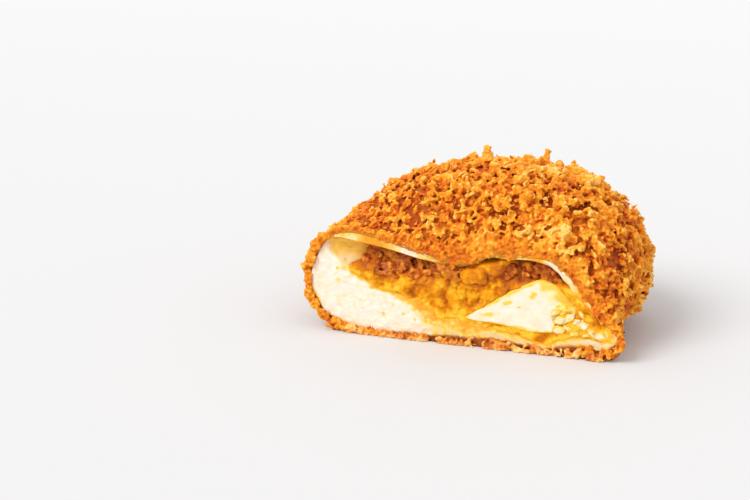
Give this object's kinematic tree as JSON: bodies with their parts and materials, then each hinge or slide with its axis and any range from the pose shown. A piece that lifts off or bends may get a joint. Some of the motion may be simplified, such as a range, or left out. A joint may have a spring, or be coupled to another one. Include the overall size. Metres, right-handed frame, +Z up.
{
  "type": "curry bread",
  "caption": "Half of a deep-fried curry bread, cut across: crumbed crust, thick soft dough, and a filling of curry with chicken, potato and onion showing at the cut.",
  "frame": {"origin": "middle of the base, on the table", "axes": "+X to the right along the cut, the cut face looks to -Y, +Z up"},
  "size_m": [0.0889, 0.0605, 0.0443],
  "materials": {
    "bread": "matt, craggy fried crust",
    "curry": "wet gloss",
    "chicken": "moist satin",
    "potato": "wet gloss",
    "onion_1": "wet gloss",
    "onion_2": "wet gloss",
    "onion_3": "wet gloss",
    "onion_4": "wet gloss"
  },
  "bodies": {
    "root": {"bread": "bread", "curry": "curry", "chicken": "chicken", "potato": "potato", "onion_1": "onion_1", "onion_2": "onion_2", "onion_3": "onion_3", "onion_4": "onion_4"}
  },
  "joints": []
}
